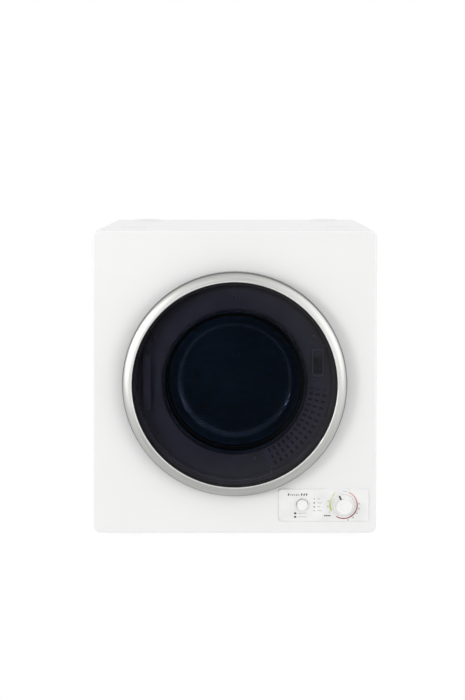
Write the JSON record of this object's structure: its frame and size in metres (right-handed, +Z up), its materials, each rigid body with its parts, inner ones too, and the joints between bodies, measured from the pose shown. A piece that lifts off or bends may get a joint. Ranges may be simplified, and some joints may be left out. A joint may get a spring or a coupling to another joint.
{
  "type": "clothes dryer",
  "caption": "Compact vented clothes dryer with a white steel cabinet, round smoked-glass door in a satin ring, belt-driven drum, rear heater, lint filter and timer dial.",
  "frame": {"origin": "on the floor under the middle of the whole machine's box", "axes": "+Z up, the door faces -Y, +X to the right seen from the front"},
  "size_m": [0.595, 0.562, 0.6515],
  "materials": {
    "white_enamel": "satin",
    "galvanised_steel": "satin",
    "stainless_drum": "satin",
    "satin_ring": "satin",
    "smoked_glass": "gloss",
    "clear_bowl": "gloss",
    "dark_plastic": "matte",
    "grey_plastic": "matte",
    "white_plastic": "satin",
    "rubber": "matte",
    "felt": "matte",
    "motor_iron": "satin",
    "cast_aluminium": "satin",
    "bronze": "satin",
    "screw_steel": "gloss"
  },
  "bodies": {
    "cabinet": {"front_panel": "white_enamel", "top_cover": "white_enamel", "side_panel_left": "white_enamel", "side_panel_right": "white_enamel", "rear_panel": "galvanised_steel", "base_pan": "galvanised_steel", "cross_braces": "galvanised_steel", "rear_bulkhead": "galvanised_steel", "heater_housing": "galvanised_steel", "exhaust_duct": "galvanised_steel", "exhaust_collar": "galvanised_steel", "service_cover": "galvanised_steel", "hinge_bracket": "galvanised_steel", "motor_bracket": "galvanised_steel", "filter_cover": "dark_plastic", "door_switch": "dark_plastic", "timer_body": "dark_plastic", "selector_switch": "dark_plastic", "front_duct": "dark_plastic", "blower_housing": "dark_plastic", "cord_inlet": "dark_plastic", "run_capacitor": "dark_plastic", "latch_catch": "dark_plastic", "front_bezel": "grey_plastic", "latch_housing": "grey_plastic", "control_fascia": "white_plastic", "drive_belt": "rubber", "levelling_feet": "rubber", "drum_mouth_felt": "felt", "filter_screen": "felt", "motor_body": "motor_iron", "bearing_housing": "cast_aluminium", "rear_bearing": "bronze", "thermostats": "bronze", "bezel_screws": "screw_steel", "rear_screws": "screw_steel", "heater_coils": "screw_steel", "tensioner_spring": "screw_steel"},
    "door": {"door_ring": "satin_ring", "door_window": "smoked_glass", "door_bowl": "clear_bowl", "door_inner_frame": "dark_plastic", "door_seal": "rubber", "door_hinge_strap": "grey_plastic", "door_hinge_block": "screw_steel", "door_hinge_pin": "screw_steel", "latch_hook": "dark_plastic", "door_screws": "screw_steel"},
    "drum": {"drum_shell": "stainless_drum", "drum_front": "stainless_drum", "drum_rear": "stainless_drum", "drum_shaft": "screw_steel", "drum_lifters": "grey_plastic"},
    "motor_rotor": {"rotor_shaft": "screw_steel", "motor_pulley": "cast_aluminium", "blower_wheel": "dark_plastic"},
    "idler_arm": {"idler_arm": "galvanised_steel"},
    "idler_wheel": {"idler_wheel": "rubber"},
    "timer_knob": {"timer_knob": "white_plastic"},
    "selector_button": {"selector_button": "white_plastic"}
  },
  "joints": [
    {"name": "door_hinge", "type": "hinge", "parent": "cabinet", "child": "door", "pos_m": [-0.2225, -0.251, 0.332], "axis": [0, 0, -1], "range_deg": [0, 100]},
    {"name": "drum_spin", "type": "hinge", "parent": "cabinet", "child": "drum", "pos_m": [0, 0, 0.332], "axis": [0, 1, 0], "continuous": true},
    {"name": "motor_spin", "type": "hinge", "parent": "cabinet", "child": "motor_rotor", "pos_m": [0.215, 0, 0.08], "axis": [0, 1, 0], "continuous": true},
    {"name": "idler_arm_swing", "type": "hinge", "parent": "cabinet", "child": "idler_arm", "pos_m": [0.264, 0, 0.124], "axis": [0, 1, 0], "range_deg": [0, 10], "stiffness_Nm_per_rad": 1.5, "springref_deg": -11.46},
    {"name": "idler_wheel_spin", "type": "hinge", "parent": "idler_arm", "child": "idler_wheel", "pos_m": [0.26031, 0, 0.17942], "axis": [0, 1, 0], "continuous": true},
    {"name": "timer_knob_turn", "type": "hinge", "parent": "cabinet", "child": "timer_knob", "pos_m": [0.2277, -0.243, 0.0748], "axis": [0, 1, 0], "continuous": true},
    {"name": "selector_press", "type": "slide", "parent": "cabinet", "child": "selector_button", "axis": [0, 1, 0], "range_m": [0, 0.004], "stiffness_N_per_m": 300}
  ],
  "couplings": [
    {"joint": "motor_spin", "follows": "drum_spin", "ratio": 26.5},
    {"joint": "idler_wheel_spin", "follows": "drum_spin", "ratio": -17.8}
  ]
}
